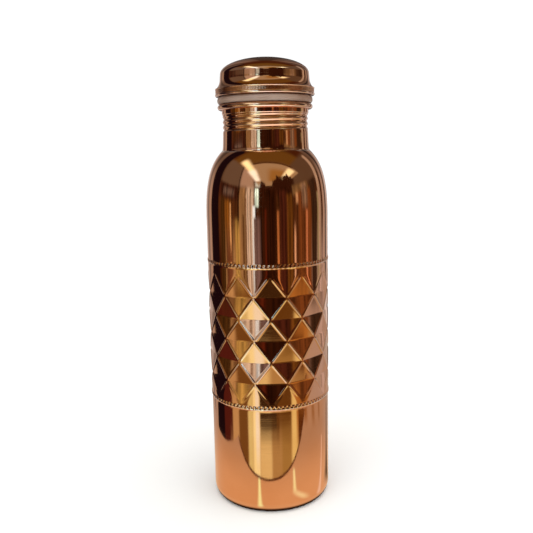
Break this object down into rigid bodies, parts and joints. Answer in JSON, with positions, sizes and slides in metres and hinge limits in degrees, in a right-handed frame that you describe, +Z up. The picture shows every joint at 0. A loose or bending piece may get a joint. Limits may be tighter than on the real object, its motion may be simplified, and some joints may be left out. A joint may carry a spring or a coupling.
{
  "type": "copper water bottle",
  "caption": "Copper water bottle with an embossed diamond band, a rolled-thread neck and a domed screw lid that seals on a soft washer.",
  "frame": {"origin": "centre of the foot's flat resting ring", "axes": "+Z up along the bottle's axis, towards the lid; -Y is the side a diamond's corner faces"},
  "size_m": [0.0724, 0.0724, 0.2629],
  "materials": {
    "polished_copper": "mirror-polished copper sheet",
    "braze": "dull brazing alloy",
    "silicone": "translucent off-white silicone"
  },
  "bodies": {
    "bottle": {"body_shell": "polished_copper", "base_plate": "polished_copper", "base_braze_ring": "braze", "neck_collar": "polished_copper", "neck_braze_ring": "braze"},
    "washer": {"gasket": "silicone"},
    "lid": {"lid_shell": "polished_copper", "lid_thread_sleeve": "polished_copper"}
  },
  "joints": [
    {"name": "lid_lift", "type": "slide", "parent": "bottle", "child": "washer", "axis": [0, 0, 1], "range_m": [0, 0.021]},
    {"name": "lid_turn", "type": "hinge", "parent": "washer", "child": "lid", "pos_m": [0, 0, 0.2408], "axis": [0, 0, 1], "range_deg": [0, 2520]}
  ],
  "couplings": [
    {"joint": "lid_lift", "follows": "lid_turn", "m_per_rad": 0.00047744}
  ]
}
